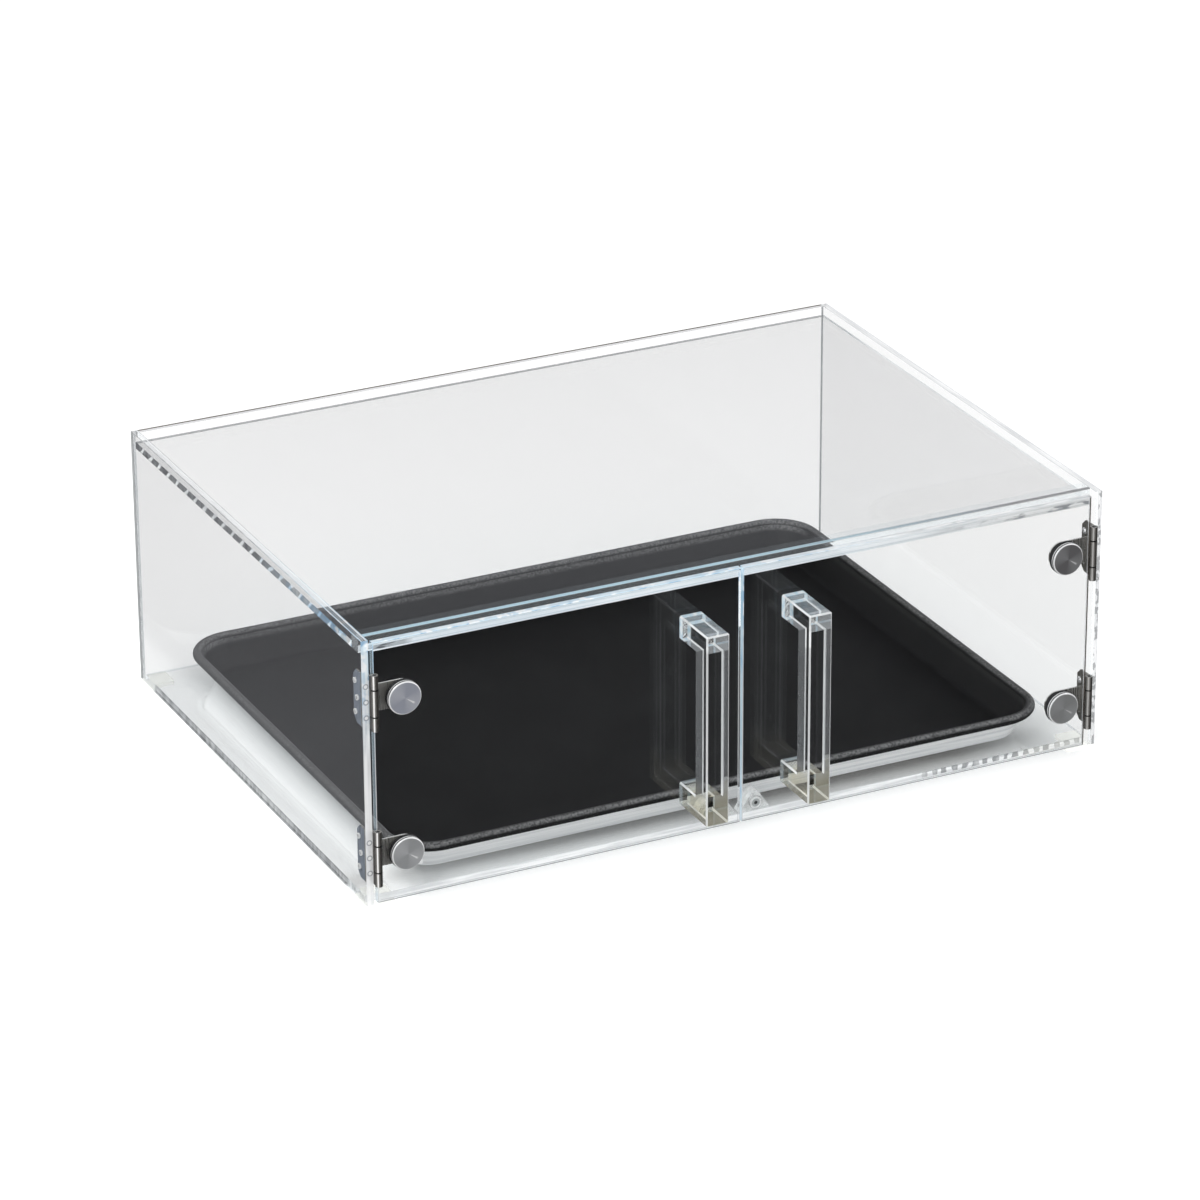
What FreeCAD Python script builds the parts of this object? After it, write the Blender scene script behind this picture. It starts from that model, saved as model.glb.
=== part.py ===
# Countertop bread display bin: a clear sheet case with two hinged doors and a sheet pan.
# X runs across the doors, Y from the doors to the back, Z up. The origin is on the
# counter, below the middle of the whole bin. All lengths are millimetres.
import FreeCAD, Part
import math
import os
import Sketcher

os.makedirs("parts", exist_ok=True)
doc = FreeCAD.newDocument("bread_bin")
Vector = FreeCAD.Vector

# Driving sizes
SIZES = {
    # case of clear sheet
    "case_width": 521, "case_depth": 375.5, "case_height": 180, "wall": 4.8,
    "top_recess": 6, "header_depth": 9.5, "header_setback": 7.6,
    "foot_height": 2.5, "foot_side": 19.5, "foot_inset": 0.3, "foot_round": 1.5,
    # doors: gaps around them and behind them
    "door_thick": 4.8, "door_side_gap": 3, "door_middle_gap": 1.5, "door_top_gap": 2.6,
    "door_bottom_gap": 0.6, "door_bevel": 0.4, "stop_gap": 1.2,
    # U-shaped handles of square bar
    "handle_bar": 16, "handle_reach": 37.5, "handle_offset": 36, "handle_bottom": 22.5,
    "handle_top": 26.5, "handle_bevel": 1,
    # hinges: barrel, pin, leaves, and how far the barrels' middles are from bottom and top
    "barrel_dia": 4.8, "barrel_height": 37.5, "end_knuckle": 9.25, "knuckle_gap": 0.4,
    "pin_dia": 2.4, "pin_clearance": 0.05, "axis_ahead": 3, "leaf_thick": 1.1,
    "leaf_margin": 0.75, "leaf_reach": 16, "leaf_corner": 4, "leaf_gap": 0.5,
    "bend_radius": 1.4, "arm_flat": 1.2, "hinge_bottom": 32.8, "hinge_top": 41.2,
    # leaf screws: how far behind the doors' front face, and apart
    "screw_far": 12.5, "screw_near": 9.6, "screw_pitch": 10.5, "screw_head_dia": 4.6,
    "screw_head": 1.1, "screw_head_round": 0.8, "screw_dia": 2.5, "screw_grip": 3.4,
    # clamps that hold the doors in their leaves
    "clamp_inset": 18.9, "cap_dia": 22, "cap_thick": 2.6, "cap_bevel": 0.7,
    "front_gasket": 2.4, "front_gasket_dia": 22.4, "back_gasket": 1, "back_gasket_dia": 17.6,
    "stud_dia": 5, "stud_clearance": 0.05,
    # catches: blocks on the base, magnets in them, strike discs on the doors
    "catch_offset": 12, "catch_width": 22, "catch_peak": 16.5, "catch_round": 3,
    "catch_depth": 8, "magnet_dia": 8, "magnet_thick": 3, "magnet_rise": 5.7,
    "strike_dia": 8, "strike_thick": 1, "strike_hole": 1.6,
    # sheet pan, and the room round its rolled rim
    "tray_side_gap": 22.7, "tray_setback": 9.25, "tray_back_gap": 4.45, "tray_height": 23,
    "tray_corner": 32, "rim_dia": 6.3, "pan_gauge": 1.2, "pan_flare": 10, "pan_bend": 5,
    "tray_seat": 0.3,
}

sheet = doc.addObject("Spreadsheet::Sheet", "Sizes")
for row, (alias, number) in enumerate(SIZES.items(), start=1):
    sheet.set(f"A{row}", alias)
    sheet.set(f"B{row}", str(number))
    sheet.setAlias(f"B{row}", alias)
doc.recompute()


# A size together with the formula that works it out from the sheet
class Dim:
    def __init__(self, value, text):
        self.value, self.text = float(value), text

    @staticmethod
    def of(other):
        return other if isinstance(other, Dim) else Dim(other, f"({other})")

    def join(self, sign, other, value):
        return Dim(value, f"({self.text} {sign} {other.text})")

    def __add__(self, other):
        other = Dim.of(other)
        return self.join("+", other, self.value + other.value)

    def __sub__(self, other):
        other = Dim.of(other)
        return self.join("-", other, self.value - other.value)

    def __mul__(self, other):
        other = Dim.of(other)
        return self.join("*", other, self.value * other.value)

    def __truediv__(self, other):
        other = Dim.of(other)
        return self.join("/", other, self.value / other.value)

    def __radd__(self, other):
        return Dim.of(other) + self

    def __rsub__(self, other):
        return Dim.of(other) - self

    def __rmul__(self, other):
        return Dim.of(other) * self

    def __neg__(self):
        return Dim(-self.value, f"(-{self.text})")


def size(alias):
    return Dim(SIZES[alias], f"Sizes.{alias}")


def slope(rise, run):
    return Dim(math.degrees(math.atan2(rise.value, run.value)), f"atan({rise.text} / {run.text})")


# Helpers for bound objects
def bind(obj, prop, dim):
    obj.setExpression(prop, Dim.of(dim).text)


def place(obj, *spot):
    for axis, dim in zip("xyz", spot):
        bind(obj, f"Placement.Base.{axis}", dim)
    return obj


def box(label, spot, extent):
    block = doc.addObject("Part::Box", label)
    block.Label = label
    for prop, dim in zip(("Length", "Width", "Height"), extent):
        bind(block, prop, dim)
    return place(block, *spot)


def body(label):
    made = doc.addObject("PartDesign::Body", label)
    made.Label = label
    return made


def sketch(owner, role, offset=None):
    flat = [item for item in owner.Origin.OriginFeatures if item.Role == role][0]
    made = owner.newObject("Sketcher::SketchObject", f"{owner.Label}_sketch")
    made.AttachmentSupport = [(flat, "")]
    made.MapMode = "FlatFace"
    if offset is not None:
        bind(made, "AttachmentOffset.Base.z", offset)
    return made


# Ties one coordinate of a sketch point to a size, measured from the sketch's origin
def tie(drawing, kind, geo, point, dim):
    dim = Dim.of(dim)
    if dim.value == 0:
        drawing.addConstraint(Sketcher.Constraint(
            "PointOnObject", geo, point, -2 if kind == "DistanceX" else -1))
        return
    if dim.value > 0:
        index = drawing.addConstraint(Sketcher.Constraint(kind, -1, 1, geo, point, dim.value))
    else:
        dim = -dim
        index = drawing.addConstraint(Sketcher.Constraint(kind, geo, point, -1, 1, dim.value))
    bind(drawing, f"Constraints[{index}]", dim)


def outline(drawing, points):
    points = [(Dim.of(across), Dim.of(up)) for across, up in points]
    first = drawing.GeometryCount
    count = len(points)
    for index, (across, up) in enumerate(points):
        onward = points[(index + 1) % count]
        drawing.addGeometry(Part.LineSegment(
            Vector(across.value, up.value, 0), Vector(onward[0].value, onward[1].value, 0)))
    for index, (across, up) in enumerate(points):
        onward = first + (index + 1) % count
        drawing.addConstraint(Sketcher.Constraint("Coincident", first + index, 2, onward, 1))
        tie(drawing, "DistanceX", first + index, 1, across)
        tie(drawing, "DistanceY", first + index, 1, up)


def rectangle(drawing, left, low, right, high):
    outline(drawing, [(left, low), (right, low), (right, high), (left, high)])


def circle(drawing, across, up, radius):
    across, up = Dim.of(across), Dim.of(up)
    geo = drawing.addGeometry(Part.Circle(
        Vector(across.value, up.value, 0), Vector(0, 0, 1), radius.value))
    tie(drawing, "DistanceX", geo, 3, across)
    tie(drawing, "DistanceY", geo, 3, up)
    bind(drawing, f"Constraints[{drawing.addConstraint(Sketcher.Constraint('Radius', geo, radius.value))}]",
         radius)


# Rounded rectangle about the sketch's origin; its first line starts on the X axis
def rounded(drawing, half_width, half_depth, radius):
    wide, deep, turn = half_width.value, half_depth.value, radius.value
    lines = [((wide, 0), (wide, deep - turn)), ((wide - turn, deep), (turn - wide, deep)),
             ((-wide, deep - turn), (-wide, turn - deep)), ((turn - wide, -deep), (wide - turn, -deep)),
             ((wide, turn - deep), (wide, 0))]
    centres = [(wide - turn, deep - turn), (turn - wide, deep - turn),
               (turn - wide, turn - deep), (wide - turn, turn - deep)]
    for quarter in range(4):
        start, end = lines[quarter]
        drawing.addGeometry(Part.LineSegment(Vector(*start, 0), Vector(*end, 0)))
        arc = Part.Circle(Vector(*centres[quarter], 0), Vector(0, 0, 1), turn)
        begin = quarter * math.pi / 2
        drawing.addGeometry(Part.ArcOfCircle(arc, begin, begin + math.pi / 2))
    start, end = lines[4]
    drawing.addGeometry(Part.LineSegment(Vector(*start, 0), Vector(*end, 0)))
    for joint in range(8):
        drawing.addConstraint(Sketcher.Constraint(
            "Tangent", joint, 2, joint + 1, 1))
    drawing.addConstraint(Sketcher.Constraint("Coincident", 8, 2, 0, 1))
    for line, way in ((0, "Vertical"), (2, "Horizontal"), (4, "Vertical"), (6, "Horizontal"),
                      (8, "Vertical")):
        drawing.addConstraint(Sketcher.Constraint(way, line))
    drawing.addConstraint(Sketcher.Constraint("PointOnObject", 0, 1, -1))
    for arc in (3, 5, 7):
        drawing.addConstraint(Sketcher.Constraint("Equal", 1, arc))
    bind(drawing, f"Constraints[{drawing.addConstraint(Sketcher.Constraint('Radius', 1, turn))}]", radius)
    tie(drawing, "DistanceX", 0, 1, half_width)
    tie(drawing, "DistanceY", 2, 1, half_depth)
    tie(drawing, "DistanceX", 4, 1, -half_width)
    tie(drawing, "DistanceY", 6, 1, -half_depth)


def extrude(kind, owner, drawing, length, reverse=False, taper=None):
    before = owner.Shape.Volume if owner.Tip else 0
    made = owner.newObject(f"PartDesign::{kind}", f"{owner.Label}_{kind.lower()}")
    made.Profile = drawing
    made.Reversed = reverse
    bind(made, "Length", length)
    if taper is not None:
        bind(made, "TaperAngle", taper)
    owner.Tip = made
    doc.recompute()
    grown = owner.Shape.Volume - before
    if (grown > 0) != (kind == "Pad"):
        raise RuntimeError(f"{owner.Label}: {kind} changed the volume by {grown}")
    return made


def pad(owner, drawing, length, reverse=False, taper=None):
    return extrude("Pad", owner, drawing, length, reverse, taper)


def pocket(owner, drawing, length, reverse=False, taper=None):
    return extrude("Pocket", owner, drawing, length, reverse, taper)


def revolve(owner, drawing, axis):
    made = owner.newObject("PartDesign::Revolution", f"{owner.Label}_turned")
    made.Profile = drawing
    made.ReferenceAxis = (drawing, [axis])
    made.Angle = 360
    owner.Tip = made
    doc.recompute()
    return made


# Dresses the edges of the body's last feature that pass a test on their end points
def dress(kind, owner, prop, dim, chosen):
    base = owner.Tip
    names = [f"Edge{number}" for number, edge in enumerate(base.Shape.Edges, start=1)
             if chosen([corner.Point for corner in edge.Vertexes], edge)]
    made = owner.newObject(f"PartDesign::{kind}", f"{owner.Label}_{kind.lower()}")
    made.Base = (base, names)
    bind(made, prop, dim)
    owner.Tip = made
    doc.recompute()
    return made


def fillet(owner, dim, chosen):
    return dress("Fillet", owner, "Radius", dim, chosen)


def chamfer(owner, dim, chosen):
    return dress("Chamfer", owner, "Size", dim, chosen)


def same(first, second):
    return math.isclose(first, second, rel_tol=0, abs_tol=SIZES["door_bevel"] / 1000)


def at(axis, level):
    level = Dim.of(level).value
    return lambda ends, edge: all(same(getattr(end, axis), level) for end in ends)


def both(*tests):
    return lambda ends, edge: all(test(ends, edge) for test in tests)


def either(*tests):
    return lambda ends, edge: any(test(ends, edge) for test in tests)


# Places that several pieces share
wall = size("wall")
front = (size("handle_reach") - size("case_depth")) / 2
back = front + size("case_depth")
half_width = size("case_width") / 2
inner_half = half_width - wall
floor = size("foot_height")
rim = floor + size("case_height")
base_top = floor + wall
door_back = front + size("door_thick")
stop_face = door_back + size("stop_gap")
lid_top = rim - size("top_recess")
lid_low = lid_top - wall
header_face = front + size("header_setback")
header_back = header_face + size("header_depth")
door_edge = inner_half - size("door_side_gap")
barrel_radius = size("barrel_dia") / 2
axis_across = inner_half - barrel_radius
axis_along = front - size("axis_ahead")
middle_knuckle = size("barrel_height") - 2 * (size("end_knuckle") + size("knuckle_gap"))
clamp_across = door_edge - size("clamp_inset")
hinges = {"lower": size("hinge_bottom"), "upper": size("case_height") - size("hinge_top")}
sides = {"left": -1, "right": 1}
screws = [("top", size("screw_far"), size("screw_pitch")), ("middle", size("screw_near"), Dim.of(0)),
          ("bottom", size("screw_far"), -size("screw_pitch"))]
nodes = []

# Case panels
nodes.append(box("base_panel", (-inner_half, stop_face, floor),
                 (2 * inner_half, back - wall - stop_face, wall)))
nodes.append(box("back_panel", (-inner_half, back - wall, floor),
                 (2 * inner_half, wall, size("case_height"))))
nodes.append(box("top_panel", (-inner_half, header_back, lid_low),
                 (2 * inner_half, back - wall - header_back, wall)))
nodes.append(box("header_bar", (-inner_half, header_face, lid_low),
                 (2 * inner_half, size("header_depth"), rim - lid_low)))

for name, side in sides.items():
    panel = body(f"{name}_side_panel")
    drawing = sketch(panel, "YZ_Plane")
    rectangle(drawing, 0, 0, size("case_depth"), size("case_height"))
    pad(panel, drawing, wall)
    holes = sketch(panel, "YZ_Plane", 0 if side > 0 else wall)
    for height in hinges.values():
        for _, along, up in screws:
            circle(holes, along, height + up, size("screw_dia") / 2)
    pocket(panel, holes, size("screw_grip"), reverse=side > 0)
    nodes.append(place(panel, inner_half if side > 0 else -half_width, front, floor))

# Feet: rounded square pads under the case's corners
for across_name, side in sides.items():
    for along_name, end in (("front", -1), ("back", 1)):
        foot = body(f"{along_name}_{across_name}_foot")
        drawing = sketch(foot, "XY_Plane")
        half_foot = size("foot_side") / 2
        rounded(drawing, half_foot, half_foot, size("foot_round"))
        pad(foot, drawing, floor)
        reach = half_foot + size("foot_inset")
        nodes.append(place(foot, side * (half_width - reach),
                           front + reach if end < 0 else back - reach, 0))


# Fixed hinge leaf: a notched plate on the side panel with two end knuckles round the pin.
# Its own origin is on the hinge axis, at the middle of the barrel.
def side_leaf(name, side):
    leaf = body(name)
    half_barrel = size("barrel_height") / 2
    half_plate = half_barrel - size("leaf_margin")
    notch = middle_knuckle / 2 + size("knuckle_gap")
    notch_depth = barrel_radius + size("knuckle_gap")
    reach = size("axis_ahead") + size("leaf_reach")
    corner = size("leaf_corner")
    inner = barrel_radius - size("leaf_thick") if side > 0 else -barrel_radius
    drawing = sketch(leaf, "YZ_Plane", inner)
    outline(drawing, [
        (0, -half_plate), (reach - corner, -half_plate), (reach, corner - half_plate),
        (reach, half_plate - corner), (reach - corner, half_plate), (0, half_plate),
        (0, notch), (notch_depth, notch), (notch_depth, -notch), (0, -notch)])
    pad(leaf, drawing, size("leaf_thick"))
    for low in (-half_barrel, half_barrel - size("end_knuckle")):
        ring = sketch(leaf, "XY_Plane", low)
        circle(ring, 0, 0, barrel_radius)
        pad(leaf, ring, size("end_knuckle"))
    bore = sketch(leaf, "XY_Plane", -half_barrel)
    circle(bore, 0, 0, size("pin_dia") / 2)
    pocket(leaf, bore, size("barrel_height"), reverse=True)
    holes = sketch(leaf, "YZ_Plane", inner)
    for _, along, up in screws:
        circle(holes, size("axis_ahead") + along, up, size("screw_dia") / 2)
    pocket(leaf, holes, size("leaf_thick"), reverse=True)
    return leaf


# Moving hinge leaf: the middle knuckle, a strip back through the gap at the door's edge
# and an arm behind the door to the clamp. Its own origin is the same point.
def door_leaf(name, side):
    leaf = body(name)
    half_leaf = middle_knuckle / 2
    thick = size("leaf_thick")
    outer = barrel_radius - thick - size("leaf_gap")
    seat = size("axis_ahead") + size("door_thick") + size("back_gasket")
    clamp = axis_across - clamp_across
    tip = clamp + half_leaf
    drawing = sketch(leaf, "XY_Plane", -half_leaf)
    corners = [(outer, 0), (outer, seat + thick), (-tip, seat + thick), (-tip, seat),
               (outer - thick, seat), (outer - thick, 0)]
    outline(drawing, [(side * across, along) for across, along in corners])
    pad(leaf, drawing, middle_knuckle)
    fillet(leaf, size("bend_radius"), both(at("x", side * outer), at("y", seat + thick)))
    fillet(leaf, half_leaf - size("arm_flat") / 2,
           both(at("x", -side * tip), either(at("z", half_leaf), at("z", -half_leaf))))
    ring = sketch(leaf, "XY_Plane", -half_leaf)
    circle(ring, 0, 0, barrel_radius)
    pad(leaf, ring, middle_knuckle)
    bore = sketch(leaf, "XY_Plane", -half_leaf)
    circle(bore, 0, 0, size("pin_dia") / 2 + size("pin_clearance"))
    pocket(leaf, bore, middle_knuckle, reverse=True)
    hole = sketch(leaf, "XZ_Plane", -seat - thick)
    circle(hole, -side * clamp, 0, size("stud_dia") / 2 + size("stud_clearance"))
    pocket(leaf, hole, thick, reverse=True)
    return leaf


# Leaf screw, head inward; its own origin is on the leaf's face
def leaf_screw(name, side):
    screw = body(name)
    drawing = sketch(screw, "XY_Plane")
    head, shank = size("screw_head_dia") / 2, size("screw_dia") / 2
    length = size("leaf_thick") + size("screw_grip")
    points = [(-size("screw_head"), 0), (-size("screw_head"), head), (0, head), (0, shank),
              (length, shank), (length, 0)]
    outline(drawing, [(side * Dim.of(across), up) for across, up in points])
    revolve(screw, drawing, "H_Axis")
    fillet(screw, size("screw_head_round"), at("x", -side * size("screw_head")))
    return screw


# Clamp cap with its stud; its own origin is on the door's front face
def clamp_cap(name):
    cap = body(name)
    drawing = sketch(cap, "XY_Plane")
    radius, stud, bevel = size("cap_dia") / 2, size("stud_dia") / 2, size("cap_bevel")
    seat = -size("front_gasket")
    face = seat - size("cap_thick")
    end = size("door_thick") + size("back_gasket") + size("leaf_thick")
    outline(drawing, [(0, face), (radius - bevel, face), (radius, face + bevel), (radius, seat),
                      (stud, seat), (stud, end), (0, end)])
    revolve(cap, drawing, "V_Axis")
    return cap


def disc(name, radius, hole, thick):
    made = body(name)
    drawing = sketch(made, "XZ_Plane")
    circle(drawing, 0, 0, radius)
    circle(drawing, 0, 0, hole)
    pad(made, drawing, thick, reverse=True)
    return made


for name, side in sides.items():
    for level, height in hinges.items():
        spot = (side * axis_across, axis_along, floor + height)
        nodes.append(place(side_leaf(f"{name}_{level}_side_leaf", side), *spot))
        nodes.append(place(door_leaf(f"{name}_{level}_door_leaf", side), *spot))
        pin = doc.addObject("Part::Cylinder", f"{name}_{level}_hinge_pin")
        pin.Label = f"{name}_{level}_hinge_pin"
        bind(pin, "Radius", size("pin_dia") / 2)
        bind(pin, "Height", size("barrel_height"))
        nodes.append(place(pin, side * axis_across, axis_along,
                           floor + height - size("barrel_height") / 2))
        leaf_face = inner_half - size("leaf_thick")
        for row, along, up in screws:
            nodes.append(place(leaf_screw(f"{name}_{level}_leaf_screw_{row}", side),
                               side * leaf_face, front + along, floor + height + up))
        spot = (side * clamp_across, front, floor + height)
        nodes.append(place(clamp_cap(f"{name}_{level}_clamp_cap"), *spot))
        washer = disc(f"{name}_{level}_front_gasket", size("front_gasket_dia") / 2,
                      size("stud_dia") / 2 + size("stud_clearance"), size("front_gasket"))
        nodes.append(place(washer, spot[0], front - size("front_gasket"), spot[2]))
        washer = disc(f"{name}_{level}_back_gasket", size("back_gasket_dia") / 2,
                      size("stud_dia") / 2 + size("stud_clearance"), size("back_gasket"))
        nodes.append(place(washer, spot[0], door_back, spot[2]))

# Doors: a drilled sheet with polished, bevelled edges
door_width = door_edge - size("door_middle_gap") / 2
door_height = size("case_height") - size("door_top_gap") - size("door_bottom_gap")
handle_height = size("case_height") - size("handle_bottom") - size("handle_top")
for name, side in sides.items():
    door = body(f"{name}_door_panel")
    drawing = sketch(door, "XZ_Plane")
    rectangle(drawing, 0, 0, door_width, door_height)
    pad(door, drawing, size("door_thick"), reverse=True)
    chamfer(door, size("door_bevel"), either(at("y", 0), at("y", size("door_thick"))))
    holes = sketch(door, "XZ_Plane")
    for height in hinges.values():
        inset = size("clamp_inset")
        circle(holes, door_width - inset if side > 0 else inset, height - size("door_bottom_gap"),
               size("stud_dia") / 2 + size("stud_clearance"))
    pocket(door, holes, size("door_thick"))
    nodes.append(place(door, size("door_middle_gap") / 2 if side > 0 else -door_edge, front,
                       floor + size("door_bottom_gap")))

# Handles: one thick bar cut to a square U
for name, side in sides.items():
    handle = body(f"{name}_handle")
    bar, reach, height = size("handle_bar"), size("handle_reach"), handle_height
    drawing = sketch(handle, "YZ_Plane", -bar / 2)
    outline(drawing, [(0, 0), (-reach, 0), (-reach, height), (0, height), (0, height - bar),
                      (bar - reach, height - bar), (bar - reach, bar), (0, bar)])
    pad(handle, drawing, bar)
    on_door = at("y", 0)
    outer_corner = both(at("y", -reach), either(at("z", 0), at("z", height)))
    chamfer(handle, size("handle_bevel"), either(outer_corner, both(
        either(at("x", bar / 2), at("x", -bar / 2)),
        lambda ends, edge: not on_door(ends, edge))))
    nodes.append(place(handle, side * size("handle_offset"), front, floor + size("handle_bottom")))

# Catches: a rounded gable block on the base, its magnet, and the strike disc on the door
for name, side in sides.items():
    across = side * size("catch_offset")
    magnet_height = base_top + size("magnet_rise")
    block = body(f"{name}_catch_block")
    drawing = sketch(block, "XZ_Plane")
    half_block = size("catch_width") / 2
    outline(drawing, [(-half_block, 0), (half_block, 0), (0, size("catch_peak"))])
    pad(block, drawing, size("catch_depth"), reverse=True)
    fillet(block, size("catch_round"), at("z", size("catch_peak")))
    recess = sketch(block, "XZ_Plane")
    circle(recess, 0, size("magnet_rise"), size("magnet_dia") / 2)
    pocket(block, recess, size("magnet_thick"))
    nodes.append(place(block, across, stop_face, base_top))
    magnet = body(f"{name}_catch_magnet")
    drawing = sketch(magnet, "XZ_Plane")
    circle(drawing, 0, 0, size("magnet_dia") / 2)
    pad(magnet, drawing, size("magnet_thick"), reverse=True)
    nodes.append(place(magnet, across, stop_face, magnet_height))
    strike = disc(f"{name}_strike_disc", size("strike_dia") / 2, size("strike_hole") / 2,
                  size("strike_thick"))
    nodes.append(place(strike, across, door_back, magnet_height))

# Sheet pan: flared walls, a bend round the floor and a rolled rim
pan = body("sheet_pan")
gauge, flare = size("pan_gauge"), size("pan_flare")
rim_radius = size("rim_dia") / 2
wall_height = size("tray_height") - rim_radius
tray_width = 2 * (inner_half - size("tray_side_gap"))
tray_depth = size("case_depth") - wall - size("tray_setback") - size("tray_back_gap")
rim_wide, rim_deep = tray_width / 2 - rim_radius, tray_depth / 2 - rim_radius
rim_turn = size("tray_corner") - rim_radius
lean = slope(flare, wall_height)
shrink = rim_radius - gauge + flare
drawing = sketch(pan, "XY_Plane")
rounded(drawing, rim_wide - shrink, rim_deep - shrink, rim_turn - shrink)
pad(pan, drawing, wall_height, taper=lean)
fillet(pan, size("pan_bend"), at("z", 0))
hollow = sketch(pan, "XY_Plane", wall_height)
rounded(hollow, rim_wide - rim_radius, rim_deep - rim_radius, rim_turn - rim_radius)
pocket(pan, hollow, wall_height - gauge, taper=-lean)
fillet(pan, size("pan_bend") - gauge, at("z", gauge))
path = sketch(pan, "XY_Plane", wall_height)
rounded(path, rim_wide, rim_deep, rim_turn)
section = sketch(pan, "XZ_Plane")
circle(section, rim_wide, wall_height, rim_radius)
bead = pan.newObject("PartDesign::AdditivePipe", "sheet_pan_rim")
bead.Profile = section
bead.Spine = path
pan.Tip = bead
doc.recompute()
nodes.append(place(pan, 0, front + size("tray_setback") + tray_depth / 2,
                   base_top + size("tray_seat")))

# Everything is checked before anything is written
doc.recompute()
for item in doc.Objects:
    if any(word in state for state in item.State for word in ("Invalid", "Error")):
        raise RuntimeError(f"{item.Name} failed: {item.State}")
for node in nodes:
    shape = node.Shape
    if shape.isNull() or not shape.isValid() or len(shape.Solids) != 1:
        raise RuntimeError(f"{node.Label} is not one valid solid")

volume = 0
for node in nodes:
    node.Shape.exportStep(f"parts/{node.Label}.step")
    volume += node.Shape.Volume
whole = FreeCAD.BoundBox()
for node in nodes:
    whole.add(node.Shape.BoundBox)
print(f"{len(nodes)} pieces, {volume / 1000:.1f} cm3")
print(f"x {whole.XMin:.2f} {whole.XMax:.2f}  y {whole.YMin:.2f} {whole.YMax:.2f}  "
      f"z {whole.ZMin:.2f} {whole.ZMax:.2f}")
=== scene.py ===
# %% [markdown]
# # A clear countertop bread bin
# This file dresses a imported model of a bread bin: a case glued up from clear acrylic sheet,
# two doors on small steel hinges, thick U-shaped handles and a rimmed sheet pan.
# Every solid is already in its place, in metres, so the work here is looks: a camera, a
# plain light studio, and one finish for each substance the real bin is made of.
# We load the solids first.

# %% Load the frame
import math
from types import SimpleNamespace

import bpy
from mathutils import Matrix, Vector


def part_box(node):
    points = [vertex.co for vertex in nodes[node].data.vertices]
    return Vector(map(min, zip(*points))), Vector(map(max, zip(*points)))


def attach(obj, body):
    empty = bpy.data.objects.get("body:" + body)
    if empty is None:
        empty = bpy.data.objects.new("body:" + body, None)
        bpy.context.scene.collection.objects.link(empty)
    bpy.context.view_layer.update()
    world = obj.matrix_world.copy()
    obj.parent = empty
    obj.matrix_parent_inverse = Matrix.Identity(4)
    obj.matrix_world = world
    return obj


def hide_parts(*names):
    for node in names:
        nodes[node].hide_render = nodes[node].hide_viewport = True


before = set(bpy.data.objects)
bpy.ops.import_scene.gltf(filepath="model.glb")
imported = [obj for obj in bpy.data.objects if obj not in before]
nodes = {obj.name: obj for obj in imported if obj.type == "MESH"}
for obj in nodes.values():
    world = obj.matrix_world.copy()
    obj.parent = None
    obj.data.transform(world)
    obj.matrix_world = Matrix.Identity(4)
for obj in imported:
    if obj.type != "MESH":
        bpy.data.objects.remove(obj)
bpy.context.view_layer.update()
mm = 0.001

# %% [markdown]
# ## The camera
# A photograph's viewpoint can be found again from the corners of a straight-edged object:
# one place, one direction and one lens make all seven visible corners fall where they do.
# We give the camera that place and direction, as the three axes of its matrix, because an
# axis triple needs no angle order. The lens is long, so the case hardly tapers.

# %% Camera
turn, dip, tilt = (math.radians(angle) for angle in (25.94, 24.08, -0.32))
place = (-1.4787, -3.00525, 1.5874)
film_width, picture_pixels, focal_pixels = 36, 1200, 5595
look = Vector((math.sin(turn) * math.cos(dip), math.cos(turn) * math.cos(dip), -math.sin(dip)))
level = Vector((math.cos(turn), -math.sin(turn), 0))
rise = level.cross(look)
right = math.cos(tilt) * level + math.sin(tilt) * rise
up = math.cos(tilt) * rise - math.sin(tilt) * level

lens = bpy.data.cameras.new("camera")
lens.sensor_width, lens.lens = film_width, film_width * focal_pixels / picture_pixels
lens.clip_start, lens.clip_end = 0.1, 50
camera = bpy.data.objects.new("camera", lens)
axes = Matrix((right, up, -look)).transposed().to_4x4()
camera.matrix_world = Matrix.Translation(place) @ axes
bpy.context.scene.collection.objects.link(camera)
bpy.context.scene.camera = camera
bpy.context.scene.view_settings.view_transform = "Standard"
print("camera at", tuple(camera.location), "lens", round(lens.lens, 2), "mm")

# %% [markdown]
# ## Sums on sockets
# A finish is a small network of nodes, and most of it is arithmetic: a distance, a mask, a
# blend. Written node by node that is long and hard to read. So one small class wraps an
# output socket and teaches it Python's own signs, and `1 - mask` then adds the Math node by
# itself. Colours go through Mix nodes instead, since a Math node would turn them grey.


# %% Sockets that can be added, multiplied and mixed
class Flow:
    def __init__(self, tree, socket):
        self.tree, self.socket = tree, socket

    def math(self, operation, *others):
        return self.tree.node("ShaderNodeMath", {"operation": operation},
                              dict(enumerate((self, *others))))

    def __add__(self, other):
        return self.math("ADD", other)

    def __radd__(self, other):
        return self.math("ADD", other)

    def __sub__(self, other):
        return self.math("SUBTRACT", other)

    def __rsub__(self, other):
        return self.tree.node("ShaderNodeMath", {"operation": "SUBTRACT"}, {0: other, 1: self})

    def __mul__(self, other):
        return self.math("MULTIPLY", other)

    def __rmul__(self, other):
        return self.math("MULTIPLY", other)

    def __lt__(self, other):
        return self.math("LESS_THAN", other)

    def __gt__(self, other):
        return self.math("GREATER_THAN", other)

    def __abs__(self):
        return self.math("ABSOLUTE")

    def output(self, name):
        return Flow(self.tree, self.socket.node.outputs[name])


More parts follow.
